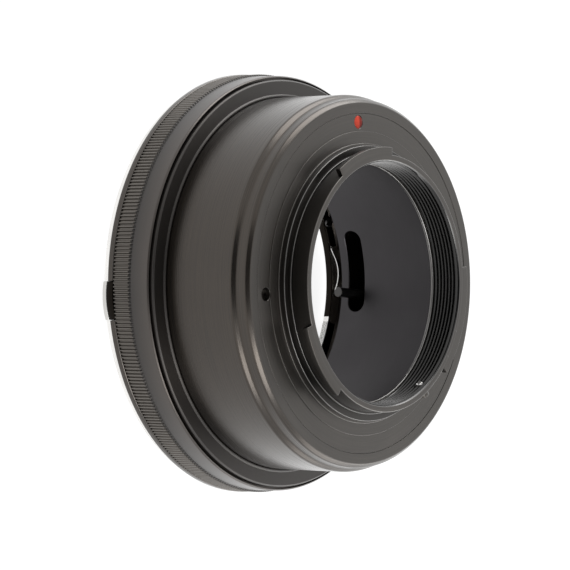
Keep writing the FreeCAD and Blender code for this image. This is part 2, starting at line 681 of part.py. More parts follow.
def leaf_screw(doc, i):
    """A cheese-head screw that holds a leaf's tab down on its lug."""
    turn = leaf_screw_turn(i)
    name = f"LeafScrew{i}"
    shank = cylinder(doc, name + "Shank", "leaf_screw_radius", "leaf_screw_depth + leaf_gauge",
                     upright("leaf_screw_floor", turn, "leaf_circle"))
    head = cylinder(doc, name + "Head", "leaf_screw_head", "leaf_screw_rise",
                    upright("plate_thickness + leaf_gauge", turn, "leaf_circle"))
    top = "plate_thickness + leaf_gauge + leaf_screw_rise"
    slot = block(doc, name + "Slot", "leaf_circle - 2 * leaf_screw_head",
                 "leaf_circle + 2 * leaf_screw_head", "driver_width",
                 f"{top} - leaf_screw_rise * driver_share", f"{top} + cutter_margin", turn)
    return cut(doc, name, fuse(doc, name + "Blank", [shank, head]), [slot])


def screws(doc):
    publish(group(doc, "PlateScrews", [plate_screw(doc, i) for i in range(PLATE_SCREW_COUNT)]),
            "mount_plate_screws")
    publish(group(doc, "LeafScrews", [leaf_screw(doc, i) for i in range(LEAF_COUNT)]),
            "leaf_spring_screws")


def bow_edges(points):
    """A straight end, two arcs and the other straight end, through seven points."""
    return [
        Part.LineSegment(points[0], points[1]).toShape(),
        Part.Arc(points[1], points[2], points[3]).toShape(),
        Part.Arc(points[3], points[4], points[5]).toShape(),
        Part.LineSegment(points[5], points[6]).toShape()]


def leaf_strip(sheet):
    """A leaf's side outline, as long as the lug is wide: a free tip, a bow and a flat tab."""
    half = sheet.leaf_span / 2
    quarter = half / 2
    middle = sheet.leaf_rise / 2
    bend = (quarter ** 2 + middle ** 2) / sheet.leaf_rise
    swing = math.asin(quarter / bend)
    low = [
        Vector(0, -quarter - sheet.leaf_tip, middle - sheet.leaf_tip * math.tan(swing)),
        Vector(0, -quarter, middle),
        Vector(0, 0, sheet.leaf_rise),
        Vector(0, quarter, middle),
        Vector(0, half - bend * math.sin(swing / 2), bend - bend * math.cos(swing / 2)),
        Vector(0, half, 0),
        Vector(0, half + sheet.leaf_tab, 0)]
    high = [point + Vector(0, 0, sheet.leaf_gauge) for point in low]
    tab_end = Part.LineSegment(low[-1], high[-1]).toShape()
    tip_end = Part.LineSegment(high[0], low[0]).toShape()
    outline = bow_edges(low) + [tab_end] + bow_edges(high[::-1]) + [tip_end]
    return Part.Face(Part.Wire(outline)).extrude(Vector(sheet.cavity_radius, 0, 0))


def leaf_springs(doc, sheet):
    """Three bowed strips of spring steel that pull the lens's lugs onto the plate."""
    inner = sheet.bore_radius
    tall = sheet.leaf_rise + 2 * sheet.leaf_gauge
    ring = Part.makeCylinder(inner + sheet.leaf_width, tall).cut(Part.makeCylinder(inner, tall))
    middle = sheet.leaf_circle
    aside = math.degrees(math.asin((sheet.leaf_span / 2 + sheet.leaf_tab / 2) / middle))
    spot = Vector(middle * math.cos(math.radians(aside)), middle * math.sin(math.radians(aside)), 0)
    hole = Part.makeCylinder(sheet.leaf_screw_radius, tall, spot)
    leaf = ring.common(leaf_strip(sheet)).cut(hole)
    for i in range(LEAF_COUNT):
        item = doc.addObject("Part::Feature", f"Leaf{i}")
        item.Shape = leaf.Solids[0]
        turn = sheet.leaf_angle + 360 / LEAF_COUNT * i
        item.Placement = FreeCAD.Placement(Vector(0, 0, sheet.plate_thickness),
                                           FreeCAD.Rotation(Vector(0, 0, 1), turn))
        publish(item, f"leaf_spring_{i + 1}")


def release_button(doc):
    """A block in the rim's notch with a forked tongue, whose ramp lifts the lock pin."""
    block_top = "base_top - slide_clearance"
    tongue = milled(doc, "Tongue", (
        ("head_inner", "tongue_foot"),
        ("button_inner + edge_break", "tongue_foot"),
        ("button_inner + edge_break", block_top),
        ("tongue_outer", block_top),
        ("tongue_outer", "ramp_top"),
        ("head_inner + tongue_height", "ramp_top")), "tongue_width", "lock_angle")
    slab = block(doc, "ButtonSlab", "button_inner", "button_reach + cutter_margin", "button_width",
                 "button_foot", block_top, "lock_angle")
    rim = cylinder(doc, "ButtonRim", "button_curve", block_top,
                   upright("0", "lock_angle", "button_reach - button_curve"))
    face = common(doc, "ButtonFace", slab, rim)
    gap = block(doc, "ForkGap", "head_inner - cutter_margin",
                "lock_circle + lock_pin_radius + lock_travel + button_play",
                "2 * (lock_pin_radius + button_play)", "0", "ramp_top + cutter_margin",
                "lock_angle")
    blank = fuse(doc, "ButtonBlank", [tongue, face])
    publish(cut(doc, "Button", blank, [gap]), "release_button")
    slab_cap = block(doc, "CapSlab", "button_inner", "button_cap_reach", "button_width",
                     "button_cap_foot", "button_foot", "lock_angle")
    dome = cylinder(doc, "CapDome", "button_curve", "button_foot",
                    upright("0", "lock_angle", "button_cap_reach - button_curve"))
    publish(common(doc, "ButtonCap", slab_cap, dome), "release_button_cap")


def lock_pin(doc):
    """A pin with a wedge head; its slope rests on the tongue's ramp."""
    head = milled(doc, "PinHead", (
        ("head_inner", "head_foot"),
        ("head_outer", "slope_top"),
        ("head_outer", "head_top"),
        ("head_inner", "head_top")), "head_width", "lock_angle")
    shank = cylinder(doc, "PinShank", "lock_pin_radius", "lock_pin_reach + slope_top",
                     upright("-lock_pin_reach", "lock_angle", "lock_circle"))
    boss = cylinder(doc, "PinBoss", "spring_boss", "head_cap + spring_boss",
                    upright("slope_top", "lock_angle", "lock_circle"))
    publish(fuse(doc, "LockPin", [head, shank, boss]), "lock_pin")
    spring = coil(doc, "LockSpring", "spring_hole_radius - spring_wire - slide_clearance",
                  "spring_wire", "spring_pitch", "spring_length",
                  upright("head_top", "lock_angle", "lock_circle"))
    publish(spring, "lock_pin_spring")


def check(doc):
    """Stop unless each object worked and each sub-part is sound."""
    for item in doc.Objects:
        if "Invalid" in item.State or "Error" in item.State:
            raise RuntimeError(f"{item.Name} failed: {item.State}")
    for item in NODES:
        if item.Shape.isNull() or not item.Shape.isValid() or not item.Shape.Solids:
            raise RuntimeError(f"{item.Label} has no sound solid")


def main():
    doc = FreeCAD.newDocument("LensMountAdapter")
    sheet = make_sheet(doc)
    main_body(doc)
    camera_bayonet(doc)
    index_dots(doc)
    stop_screw(doc)
    retaining_ring(doc)
    aperture_ring(doc, sheet)
    detent(doc)
    lens_mount_plate(doc)
    screws(doc)
    leaf_springs(doc, sheet)
    release_button(doc)
    lock_pin(doc)
    doc.recompute()
    check(doc)
    os.makedirs("parts", exist_ok=True)
    for item in NODES:
        item.Shape.exportStep(f"parts/{item.Label}.step")
        print(item.Label, len(item.Shape.Solids), "solid", round(item.Shape.Volume, 2), "mm3")


main()
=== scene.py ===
import math

import bmesh
import bpy
from mathutils import Matrix, Vector


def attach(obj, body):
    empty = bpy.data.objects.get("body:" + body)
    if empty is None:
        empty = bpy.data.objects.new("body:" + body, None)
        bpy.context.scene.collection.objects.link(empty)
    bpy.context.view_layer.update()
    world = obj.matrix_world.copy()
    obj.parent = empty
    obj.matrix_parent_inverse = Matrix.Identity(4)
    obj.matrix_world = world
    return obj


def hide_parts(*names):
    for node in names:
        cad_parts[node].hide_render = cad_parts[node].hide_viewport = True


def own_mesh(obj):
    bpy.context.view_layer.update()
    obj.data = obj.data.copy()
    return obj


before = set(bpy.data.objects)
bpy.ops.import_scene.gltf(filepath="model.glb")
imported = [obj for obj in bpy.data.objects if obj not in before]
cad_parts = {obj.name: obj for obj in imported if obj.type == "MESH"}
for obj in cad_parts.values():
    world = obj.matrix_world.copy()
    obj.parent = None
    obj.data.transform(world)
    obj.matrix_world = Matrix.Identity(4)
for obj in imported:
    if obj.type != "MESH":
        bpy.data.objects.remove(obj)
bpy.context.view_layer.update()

# Lens mount adapter. Sizes are in millimetres and degrees, as in the CAD, and become metres when
# a mesh is made. +Z is the optical axis and points to the camera side; the origin is the centre
# of the bright face that the lens seats on. Angles turn from +X towards +Y.

MM = 0.001
ROUND = 512          # columns round a large turned part
SMALL_ROUND = 64     # columns round a pin, a screw or a hole
SHARP = 34           # an edge that turns by more degrees than this stays sharp
EDGE_BREAK = 0.06    # the fillet of a corner that names none
FILLET_STEPS = 4

REGISTER = 27.46     # lens face to camera face
BORE = 24.4
TUBE = 32.3
BORE_TOP = 25.26
SEAT = 29.07         # the camera bayonet's seat in the body
CAVITY = 26.6        # room for the lens's lugs
CAVITY_TOP = 3.46
BASE = 36.6
LAND = 32.95         # the cylinder that the aperture ring turns on
PLATE_TOP = 1.31
BASE_TOP = 2.36
RING_FOOT = 2.39
GRIP_TOP = 6.03
RING_TOP = 9.71
REBATE_FLOOR = 8.66
LAND_TOP = 8.78
RETAINER_TOP = 10.62
RIB_TIP = 36.5
RIB_ROOT = 36.22
RIB_COUNT = 360
SNOUT = 21.9
SNOUT_END = 32.32
THREAD_ROOT = 20.85
THREAD_CREST = 20.45
THREAD_PITCH = 0.703
THREAD_FOOT = 26.98
THREAD_TOP = 32.15
THREAD_HALF = 0.33   # half the width of the ridge at its root
THREAD_RUN_OUT = 30.0
CAMERA_LUGS = ((173.0, 38.0), (284.6, 35.4), (44.0, 49.7))      # start and sweep of each
LOCK_ANGLE = 270.8
LOCK_CIRCLE = 30.0
LOCK_SPRING_SEAT = 4.36
LOCK_SPRING_TOP = 8.56
LOCK_SPRING_LENGTH = 4.2
NOTCH = 32.32        # the button's notch in the rim
NOTCH_WIDTH = 6.66
LATCH_ANGLE = 270.0
LATCH_CIRCLE = 26.85
INDEX_ANGLE = 180.0
CAMERA_MARK_CIRCLE = 27.535
LENS_MARK_CIRCLE = 33.6
DETENT_ANGLE = 180.0
DETENT_HEIGHT = 4.2
DETENT_FOOT = LAND - 3.6
PIN_ANGLE = 81.5
PIN_RADIUS = 0.88
PIN_HEIGHT = 6.86
SLOT_START = 78.3
SLOT_SWEEP = 26.3
SLOT_WIDTH = 3.5
STOP_ANGLE = 28.2
STOP_HEIGHT = REGISTER + 3.5
LUG_STEP = 120       # from one lug of the lens bayonet to the next
LUG_SHADE_START = 71.5
LUG_SHADE_SWEEP = 70
GATE_START = 131.5
GATE_SWEEP = 58.0
LEAF_ANGLE = 91.0
LEAF_HALF = 5.9
LEAF_TIP = -3.3
LEAF_TAB = 12.2
LEAF_INNER = 24.4
LEAF_OUTER = 26.15
LEAF_RISE = 1.25
LEAF_GAUGE = 0.2
LEAF_SCREW_CIRCLE = 25.275
BUTTON_BACK = 33.6
BUTTON_REACH = 36.65
BUTTON_WIDTH = 6.5
BUTTON_CURVE = 12.0
BUTTON_SPLIT = 0.95  # where the bright cap meets the black button
PLATE_SCREW_CIRCLE = 30.6
PLATE_SCREW_TURNS = (45, 135, 225, 315)
FLOOR = -1.15        # the lock pin's tip stands on the floor


def place(height=0.0, turn=0.0, radius=0.0):
    """A frame whose z axis is vertical, out by a radius at an angle."""
    return (Matrix.Rotation(math.radians(turn), 4, "Z")
            @ Matrix.Translation((radius, 0, height)))


def outward(height, turn, radius):
    """A frame whose z axis points away from the optical axis."""
    return place(height, turn, radius) @ Matrix.Rotation(math.radians(90), 4, "Y")


def fillet(before, corner, after, radius, wear_and_highlight):
    """Points of a small arc at a corner of a section, each with how worn it is and how much
    painted edge highlight it gets.
    """
    here = Vector(corner[:2])
    back, ahead = Vector(before[:2]) - here, Vector(after[:2]) - here
    reach = min(radius, 0.45 * back.length, 0.45 * ahead.length)
    if reach < 1e-6:
        return [(here.x, here.y, 0.0)]
    start, end = here + back.normalized() * reach, here + ahead.normalized() * reach
    points = []
    for step in range(FILLET_STEPS + 1):
        t = step / FILLET_STEPS
        point = start.lerp(here, t).lerp(here.lerp(end, t), t)
        points.append((point.x, point.y, wear_and_highlight * (1.0 - abs(2 * t - 1))))
    return points


def rounded(section, default=EDGE_BREAK):
    """A section's corners (radius, height[, fillet[, wear and painted highlight]]) as points of
    its outline.
    """
    count = len(section)
    points = []
    for i, corner in enumerate(section):
        size = corner[2] if len(corner) > 2 else default
        wear_and_highlight = corner[3] if len(corner) > 3 else 0.0
        points += fillet(section[i - 1], corner, section[(i + 1) % count], size, wear_and_highlight)
    return points


def add_object(name, data):
    thing = bpy.data.objects.new(name, data)
    bpy.context.scene.collection.objects.link(thing)
    return thing


def from_work(name, work):
    """An object whose mesh is what a bmesh holds; the bmesh is freed."""
    mesh = bpy.data.meshes.new(name)
    work.to_mesh(mesh)
    work.free()
    return add_object(name, mesh)


def new_piece(name, vertices, faces, worn_and_lit=None):
    """An object from vertices in millimetres, with how worn each is and how much painted edge
    highlight it gets.
    """
    mesh = bpy.data.meshes.new(name)
    mesh.from_pydata([Vector(v) * MM for v in vertices], [], faces)
    if worn_and_lit:
        mesh.attributes.new("worn_and_lit", "FLOAT", "POINT").data.foreach_set("value", worn_and_lit)
    mesh.validate()
    return add_object(name, mesh)


def swept(name, vertices, count, first_turned=False):
    """A solid through rings of count vertices each, capped at both ends.

    first_turned says which cap's vertices run backwards: a bent cap is filled by it.
    """
    faces = []
    for ring in range(0, len(vertices) - count, count):
        for i in range(count):
            j = (i + 1) % count
            faces.append((ring + i, ring + j, ring + count + j, ring + count + i))
    caps = [tuple(range(count)), tuple(range(len(vertices) - count, len(vertices)))]
    turned = 0 if first_turned else 1
    caps[turned] = caps[turned][::-1]
    piece = new_piece(name, vertices, faces + caps)
    work = bmesh.new()
    work.from_mesh(piece.data)
    bmesh.ops.recalc_face_normals(work, faces=work.faces)
    work.to_mesh(piece.data)
    work.free()
    return piece


def lathe(name, section, columns=ROUND, axes=None, reach=None):
    """A closed section turned about the z axis of a frame.

    A section that touches the axis makes a solid of revolution. reach(angle, radius) may change
    a point's radius, for ribs.
    """
    axes = axes or Matrix.Identity(4)
    points = rounded(section)
    area = sum(a[0] * b[1] - b[0] * a[1] for a, b in zip(points, points[1:] + points[:1]))
    if area < 0:
        points.reverse()
    rows = len(points)
    vertices, worn_and_lit, index = [], [], {}
    for column in range(columns):
        angle = 2 * math.pi * column / columns
        for row, (radius, height, wear_and_highlight) in enumerate(points):
            if radius < 1e-6:
                if (0, row) in index:
                    index[column, row] = index[0, row]
                    continue
                radius = 0.0
            far = reach(angle, radius) if reach else radius
            index[column, row] = len(vertices)
            vertices.append(axes @ Vector((far * math.cos(angle), far * math.sin(angle), height)))
            worn_and_lit.append(wear_and_highlight)
    faces = []
    for column in range(columns):
        after = (column + 1) % columns
        for row in range(rows):
            below = (row + 1) % rows
            corners = [index[column, row], index[after, row],
                       index[after, below], index[column, below]]
            corners = list(dict.fromkeys(corners))
            if len(corners) > 2:
                faces.append(corners)
    return new_piece(name, vertices, faces, worn_and_lit)


def break_edges(work, edges, bevel):
    bmesh.ops.bevel(work, geom=edges, offset=bevel, segments=3, profile=0.5, affect="EDGES")


def box(low, high, bevel):
    """A box between two corners, as a bmesh, with broken edges."""
    work = bmesh.new()
    bmesh.ops.create_cube(work, size=1.0)
    for vertex in work.verts:
        vertex.co = Vector([(share + 0.5) * (end - start) + start
                            for share, start, end in zip(vertex.co, low, high)])
    if bevel:
        break_edges(work, work.edges[:], bevel)
    return work


def bent_block(name, inner, outer, foot, top, start, sweep, bevel=0.1, cuts=40):
    """A block with broken edges, bent round the optical axis."""
    middle = (inner + outer) / 2
    length = math.radians(sweep) * middle
    work = box((0, inner, foot), (length, outer, top), bevel)
    for i in range(1, cuts):
        bmesh.ops.bisect_plane(work, geom=work.verts[:] + work.edges[:] + work.faces[:],
                               plane_co=(length * i / cuts, 0, 0), plane_no=(1, 0, 0))
    for vertex in work.verts:
        angle = math.radians(start) + vertex.co.x / middle
        radius = vertex.co.y
        vertex.co = Vector((radius * math.cos(angle), radius * math.sin(angle),
                            vertex.co.z))
    bmesh.ops.recalc_face_normals(work, faces=work.faces)
    piece = from_work(name, work)
    piece.data.transform(Matrix.Scale(MM, 4))
    return piece


def block(name, inner, outer, width, foot, top, turn, bevel=0.08):
    """A straight block with broken edges between two radii in the direction of an angle."""
    work = box((inner, -width / 2, foot), (outer, width / 2, top), bevel)
    bmesh.ops.transform(work, matrix=Matrix.Scale(MM, 4) @ place(turn=turn), verts=work.verts)
    bmesh.ops.recalc_face_normals(work, faces=work.faces)
    return from_work(name, work)


def prism(name, outline, foot, top, axes, bevel=0.08):
    """An outline in a frame's own plane, padded between two heights, with broken edges."""
    work = bmesh.new()
    low = work.faces.new([work.verts.new((x, y, foot)) for x, y in outline])
    grown = bmesh.ops.extrude_face_region(work, geom=[low])["geom"]
    for vertex in [item for item in grown if isinstance(item, bmesh.types.BMVert)]:
        vertex.co.z = top
    bmesh.ops.recalc_face_normals(work, faces=work.faces)
    sharp = [edge for edge in work.edges if edge.calc_face_angle(0.0) > math.radians(SHARP)]
    break_edges(work, sharp, bevel)
    bmesh.ops.transform(work, matrix=Matrix.Scale(MM, 4) @ axes, verts=work.verts)
    return from_work(name, work)


def sideways(turn):
    """A frame for a side outline: radius and height in its plane, its own z across them."""
    return place(turn=turn) @ Matrix.Rotation(math.radians(90), 4, "X")


def settle(piece):
    """Replace a piece's mesh by what its modifiers make of it."""
    graph = bpy.context.evaluated_depsgraph_get()
    old = piece.data
    piece.data = bpy.data.meshes.new_from_object(piece.evaluated_get(graph))
    piece.data.name = piece.name
    piece.modifiers.clear()
    bpy.data.meshes.remove(old)


def discard(pieces):
    for piece in pieces:
        mesh = piece.data
        bpy.data.objects.remove(piece)
        bpy.data.meshes.remove(mesh)


def boolean(piece, tools, operation="DIFFERENCE"):
    """Cut tools out of a piece, or join them to it, and delete them."""
    for tool in tools:
        modifier = piece.modifiers.new("shape", "BOOLEAN")
        modifier.operation = operation
        modifier.solver = "MANIFOLD"
        modifier.object = tool
    settle(piece)
    discard(tools)


def join(piece, others):
    """Add other pieces' meshes to a piece as they are."""
    work = bmesh.new()
    for one in [piece] + others:
        work.from_mesh(one.data)
    work.to_mesh(piece.data)
    work.free()
    discard(others)


def dress(piece, body, nodes, material):
    """Shade a piece, give it its finish, and let it stand for its CAD nodes."""
    mesh = piece.data
    mesh.shade_smooth()
    mesh.set_sharp_from_angle(angle=math.radians(SHARP))
    modifier = piece.modifiers.new("normals", "WEIGHTED_NORMAL")
    modifier.keep_sharp = True
    settle(piece)
    piece.data.materials.clear()
    piece.data.materials.append(material)
    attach(piece, body)
    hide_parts(*nodes)
    return piece


# Materials

RINGS_PER_MM = 5.0
RING_DRIFT = 2.0     # how soon a turned line changes on its way round
GRAIN_PER_MM = 14.0
MOTTLE_PER_MM = 0.12
SCUFFS_PER_MM = 0.6
NOISE = (0.3, 0.7)   # nearly all values of a noise are in this range
RING_TONE = 0.3      # how far the turned lines change the tone, and the roughness
RING_ROUGH = 0.2


def add_node(tree, kind, values=None, **settings):
    """A node with its settings; a value is a constant or another node's output."""
    node = tree.nodes.new(kind)
    for key, value in settings.items():
        setattr(node, key, value)
    for key, value in (values or {}).items():
        if isinstance(value, bpy.types.NodeSocket):
            tree.links.new(value, node.inputs[key])
        else:
            node.inputs[key].default_value = value
    return node


def maths(tree, operation, first, second=0.0):
    return add_node(tree, "ShaderNodeMath", {0: first, 1: second}, operation=operation).outputs[0]


def ramp(tree, value, low, high, low_result, high_result):
    return add_node(tree, "ShaderNodeMapRange", {
        "Value": value, "From Min": low, "From Max": high,
        "To Min": low_result, "To Max": high_result}).outputs["Result"]


def mix(tree, share, first, second):
    return add_node(tree, "ShaderNodeMix", {"Factor": share, "A": first, "B": second},
                    data_type="RGBA").outputs["Result"]


def position(tree):
    return add_node(tree, "ShaderNodeTexCoord").outputs["Object"]


def split(tree, vector):
    return add_node(tree, "ShaderNodeSeparateXYZ", {0: vector}).outputs


def bump(tree, height, strength, depth, under=None):
    """A bump of a depth in millimetres, over another one."""
    values = {"Height": height, "Strength": strength, "Distance": depth * MM}
    if under is not None:
        values["Normal"] = under
    return add_node(tree, "ShaderNodeBump", values).outputs["Normal"]


def turned_lines(tree):
    """Noise in fine rings about the optical axis, as a lathe tool leaves."""
    parts = split(tree, position(tree))
    flat = add_node(tree, "ShaderNodeCombineXYZ", {0: parts["X"], 1: parts["Y"]}).outputs[0]
    radius = add_node(tree, "ShaderNodeVectorMath", {0: flat}, operation="LENGTH").outputs["Value"]
    way = add_node(tree, "ShaderNodeVectorMath", {0: flat}, operation="NORMALIZE").outputs[0]
    sides = split(tree, way)
    vector = add_node(tree, "ShaderNodeCombineXYZ", {
        0: maths(tree, "MULTIPLY", radius, RINGS_PER_MM / MM),
        1: maths(tree, "MULTIPLY", parts["Z"], RINGS_PER_MM / MM),
        2: maths(tree, "MULTIPLY", sides["X"], RING_DRIFT)}).outputs[0]
    return add_node(tree, "ShaderNodeTexNoise", {
        "Vector": vector, "W": maths(tree, "MULTIPLY", sides["Y"], RING_DRIFT),
        "Scale": 1.0, "Detail": 3.0, "Roughness": 0.6}, noise_dimensions="4D").outputs["Fac"]


def speckle(tree, per_mm, detail=2.0):
    return add_node(tree, "ShaderNodeTexNoise", {
        "Vector": position(tree), "Scale": per_mm / MM, "Detail": detail}).outputs["Fac"]


def new_material(name):
    material = bpy.data.materials.new(name)
    material.use_nodes = True
    return material, material.node_tree, material.node_tree.nodes["Principled BSDF"]


def metal(name, colour, worn_lit_edge_colour, roughness, lines=0.25, grain=0.15, anisotropic=0.0,
          wear_and_highlight=0.0, coat=0.0, painted_shade_by_height=None):
    """Turned metal: fine rings, a faint mottle, a fine grain, and broken edges painted lighter,
    for wear and as a painted highlight.

    coat is a sealed anodised layer's clear share; painted_shade_by_height is (low, high, shade at
    low), a painted shade that darkens the tone towards the low height.
    """
    material, tree, shader = new_material(name)
    shader.inputs["Metallic"].default_value = 1.0
    shader.inputs["Anisotropic"].default_value = anisotropic
    shader.inputs["Anisotropic Rotation"].default_value = 0.25
    shader.inputs["Coat Weight"].default_value = coat
    shader.inputs["Coat Roughness"].default_value = roughness
    rings = turned_lines(tree)
    mottle = ramp(tree, speckle(tree, MOTTLE_PER_MM), *NOISE, 0.94, 1.06)
    ring_tone = ramp(tree, rings, *NOISE, 1.0 - RING_TONE * lines, 1.0 + RING_TONE * lines)
    tone = maths(tree, "MULTIPLY", mottle, ring_tone)
    if painted_shade_by_height:
        low, high, dark = painted_shade_by_height
        height = split(tree, position(tree))["Z"]
        tone = maths(tree, "MULTIPLY", tone, ramp(tree, height, low * MM, high * MM, dark, 1.0))
    tint = add_node(tree, "ShaderNodeVectorMath", {0: (*colour,), "Scale": tone},
                    operation="SCALE").outputs[0]
    # The fillets' worn value paints them lighter: wear, and a painted highlight along each edge.
    worn_and_lit = add_node(tree, "ShaderNodeAttribute", attribute_name="worn_and_lit").outputs["Fac"]
    scuffs = ramp(tree, speckle(tree, SCUFFS_PER_MM, 4.0), *NOISE, 0.7, 1.0)
    edge = maths(tree, "MULTIPLY", worn_and_lit, maths(tree, "MULTIPLY", scuffs, wear_and_highlight))
    tree.links.new(mix(tree, edge, tint, (*worn_lit_edge_colour, 1.0)), shader.inputs["Base Color"])
    rough = ramp(tree, rings, *NOISE, roughness - RING_ROUGH * lines * roughness,
                 roughness + RING_ROUGH * lines * roughness)
    tree.links.new(rough, shader.inputs["Roughness"])
    surface = bump(tree, speckle(tree, GRAIN_PER_MM), grain, 0.01,
                   bump(tree, rings, lines, 0.02))
    tree.links.new(surface, shader.inputs["Normal"])
    tree.links.new(surface, shader.inputs["Coat Normal"])
    tangent = add_node(tree, "ShaderNodeTangent", direction_type="RADIAL", axis="Z")
    tree.links.new(tangent.outputs["Tangent"], shader.inputs["Tangent"])
    return material


def enamel(name, colour, shaded_colour):
    """Glossy paint in a recess, with painted light on one side and painted shade on the other."""
    material, tree, shader = new_material(name)
    shader.inputs["Roughness"].default_value = 0.34
    shader.inputs["Specular IOR Level"].default_value = 0.12
    across = split(tree, position(tree))["Y"]
    # Painted light and shade: the colour runs from light to dark across the dot.
    painted_shade_side = ramp(tree, across, -0.2 * MM, 0.35 * MM, 0.0, 0.85)
    mottle = ramp(tree, speckle(tree, 1.1), 0.35, 0.65, 0.0, 0.15)
    paint = mix(tree, maths(tree, "ADD", painted_shade_side, mottle), (*colour, 1.0), (*shaded_colour, 1.0))
    tree.links.new(paint, shader.inputs["Base Color"])
    tree.links.new(bump(tree, speckle(tree, 3.0), 0.25, 0.03), shader.inputs["Normal"])
    return material


BLACK = metal("black_anodised", (0.028, 0.020, 0.013), (0.26, 0.25, 0.24), 0.28,
              lines=0.6, anisotropic=0.6, wear_and_highlight=0.5, coat=1.0)
FACE_BLACK = metal("face_anodised", (0.037, 0.031, 0.025), (0.26, 0.25, 0.24), 0.36,
                   lines=0.7, anisotropic=0.6, wear_and_highlight=0.4, coat=1.0)
RETAINER_BLACK = metal("retainer_anodised", (0.013, 0.009, 0.006), (0.22, 0.21, 0.20), 0.42,
                       lines=0.3, anisotropic=0.6, wear_and_highlight=0.2, coat=1.0)
# Painted shade: the ring's tone darkens from 9 mm down to 6 mm, next to the ribs, and stays
# darkest below.
RING_BLACK = metal("ring_anodised", (0.048, 0.039, 0.033), (0.30, 0.29, 0.28), 0.36,
                   lines=0.2, anisotropic=0.5, wear_and_highlight=0.6, coat=1.0, painted_shade_by_height=(6.0, 9.0, 0.4))
# Painted light: the ribs take a lighter copy of the ring's anodise, so they look lit.
LIT_RIB_BLACK = metal("lit_rib_anodised", (0.098, 0.086, 0.073), (0.30, 0.29, 0.28), 0.38,
                  lines=0.1, wear_and_highlight=0.3, coat=1.0)
# Painted shade: a darker copy of the anodise for the snout, so it and its reflection in the face
# beside it look shaded.
SHADED_SNOUT_BLACK = metal("shaded_snout_anodised", (0.012, 0.009, 0.006), (0.44, 0.43, 0.42), 0.34,
                    lines=0.3, anisotropic=0.6, wear_and_highlight=0.5, coat=0.8)
THREAD_BLACK = metal("thread_anodised", (0.010, 0.009, 0.008), (0.44, 0.43, 0.42), 0.22,
                     lines=0.2, anisotropic=0.3, wear_and_highlight=0.5, coat=1.0)
# Painted highlight with wear: a much lighter anodise, so the lip at the thread's foot shows as a
# bright line.
WORN_LIT_LIP_BLACK = metal("worn_lit_lip_anodised", (0.17, 0.165, 0.16), (0.44, 0.43, 0.42), 0.30,
                   lines=0.2, wear_and_highlight=0.8)
# The bore's own tone; also painted shade on the plate's faces inside the cavity.
BORE_BLACK_AND_PLATE_SHADE = metal("bore_anodised_and_plate_shade", (0.064, 0.061, 0.064), (0.26, 0.25, 0.26), 0.42,
                   lines=0.12, anisotropic=0.2, wear_and_highlight=0.5)
# Black for the button; also painted shade on the plate's lug walls and on the leaves.
DEEP_BLACK_AND_SHADE = metal("deep_black_and_painted_shade", (0.012, 0.010, 0.008), (0.20, 0.19, 0.18), 0.42,
                   lines=0.1, wear_and_highlight=0.3)
CHROME = metal("chrome_plate", (0.85, 0.84, 0.82), (0.88, 0.87, 0.85), 0.20,
               lines=0.3, anisotropic=0.5, wear_and_highlight=0.2)
STEEL = metal("bright_steel", (0.62, 0.61, 0.59), (0.75, 0.74, 0.72), 0.28, lines=0.2, wear_and_highlight=0.3)
DARK_STEEL = metal("dark_steel", (0.060, 0.058, 0.057), (0.35, 0.34, 0.33), 0.32,
                   lines=0.15, wear_and_highlight=0.3, coat=1.0)
CUT_STEEL = metal("cut_steel", (0.095, 0.092, 0.09), (0.60, 0.59, 0.57), 0.45,
                  lines=0.1, grain=0.9, wear_and_highlight=1.0)
SPRING_STEEL = metal("spring_steel", (0.84, 0.83, 0.81), (0.88, 0.87, 0.85), 0.26,
                     lines=0.15, wear_and_highlight=0.2)
RED = enamel("red_enamel", (0.84, 0.10, 0.06), (0.16, 0.006, 0.002))


def finish_faces(piece, material, chosen):
    """Give the faces that a test on radius and height picks another finish."""
    piece.data.materials.append(material)
    last = len(piece.data.materials) - 1
    for face in piece.data.polygons:
        centre = face.center / MM
        if chosen(math.hypot(centre.x, centre.y), centre.z, face.normal):
            face.material_index = last


# Body

def stadium_cutter(name, start, sweep, height, width, inner, outer, bevel):
    """The slot in the bore: a bent stadium that flares at the bore's surface."""
    half = width / 2
    steps, straight = 16, 60
    outline = []
    for i in range(straight + 1):
        outline.append((start + sweep * i / straight, 1.0, 0.0))
    for i in range(1, steps):
        turn = math.pi * i / steps
        outline.append((start + sweep, math.cos(turn), math.sin(turn)))
    for i in range(straight + 1):
        outline.append((start + sweep * (straight - i) / straight, -1.0, 0.0))
    for i in range(1, steps):
        turn = math.pi * i / steps
        outline.append((start, -math.cos(turn), -math.sin(turn)))
    vertices = []
    for radius, grow in ((inner - 1.0, bevel), (inner, bevel), (inner + bevel, 0.0), (outer, 0.0)):
        for angle, up, along in outline:
            turn = math.radians(angle) + along * (half + grow) / inner
            vertices.append((radius * math.cos(turn), radius * math.sin(turn),
                             height + up * (half + grow)))
    return swept(name, vertices, len(outline), first_turned=True)


